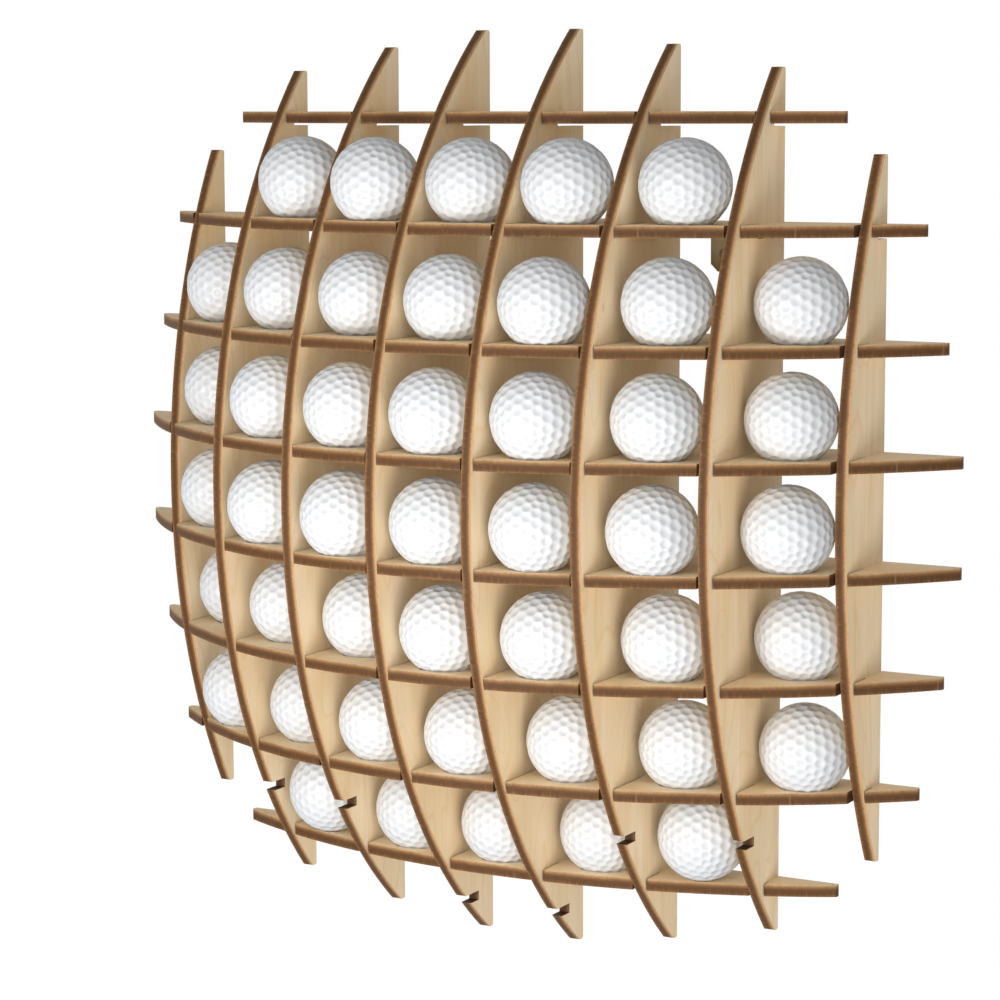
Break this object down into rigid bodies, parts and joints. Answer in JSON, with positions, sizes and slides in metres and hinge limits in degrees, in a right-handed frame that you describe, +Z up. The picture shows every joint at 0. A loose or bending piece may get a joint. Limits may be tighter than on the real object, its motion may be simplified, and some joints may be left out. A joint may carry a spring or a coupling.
{
  "type": "golf ball display case",
  "caption": "Wall-hung display case for golf balls: a domed egg-crate lattice of slotted plywood plates, with a ball in each cell on a round seat and front notches for medal ribbons.",
  "frame": {"origin": "on the wall, midway between the two hanging holes", "axes": "+X to the right as seen from the front, +Y into the wall, +Z up; the front faces -Y"},
  "size_m": [0.439, 0.115, 0.439],
  "materials": {
    "plywood": "bare sanded birch plywood with laser-darkened edges",
    "golf_ball": "glossy white, dimpled"
  },
  "bodies": {
    "lattice": {"upright_1": "plywood", "upright_2": "plywood", "upright_3": "plywood", "upright_4": "plywood", "upright_5": "plywood", "upright_6": "plywood", "upright_7": "plywood", "upright_8": "plywood", "shelf_1": "plywood", "shelf_2": "plywood", "shelf_3": "plywood", "shelf_4": "plywood", "shelf_5": "plywood", "shelf_6": "plywood", "shelf_7": "plywood", "shelf_8": "plywood", "hanger_left": "plywood", "hanger_right": "plywood"},
    "row_1": {"balls_row_1": "golf_ball"},
    "row_2": {"balls_row_2": "golf_ball"},
    "row_3": {"balls_row_3": "golf_ball"},
    "row_4": {"balls_row_4": "golf_ball"},
    "row_5": {"balls_row_5": "golf_ball"},
    "row_6": {"balls_row_6": "golf_ball"},
    "row_7": {"balls_row_7": "golf_ball"}
  },
  "joints": [
    {"name": "row_1_lift", "type": "slide", "parent": "lattice", "child": "row_1", "axis": [0, 0, 1], "range_m": [0, 0.0045]},
    {"name": "row_2_lift", "type": "slide", "parent": "lattice", "child": "row_2", "axis": [0, 0, 1], "range_m": [0, 0.0045]},
    {"name": "row_3_lift", "type": "slide", "parent": "lattice", "child": "row_3", "axis": [0, 0, 1], "range_m": [0, 0.0045]},
    {"name": "row_4_lift", "type": "slide", "parent": "lattice", "child": "row_4", "axis": [0, 0, 1], "range_m": [0, 0.0045]},
    {"name": "row_5_lift", "type": "slide", "parent": "lattice", "child": "row_5", "axis": [0, 0, 1], "range_m": [0, 0.0045]},
    {"name": "row_6_lift", "type": "slide", "parent": "lattice", "child": "row_6", "axis": [0, 0, 1], "range_m": [0, 0.0045]},
    {"name": "row_7_lift", "type": "slide", "parent": "lattice", "child": "row_7", "axis": [0, 0, 1], "range_m": [0, 0.0018]}
  ]
}
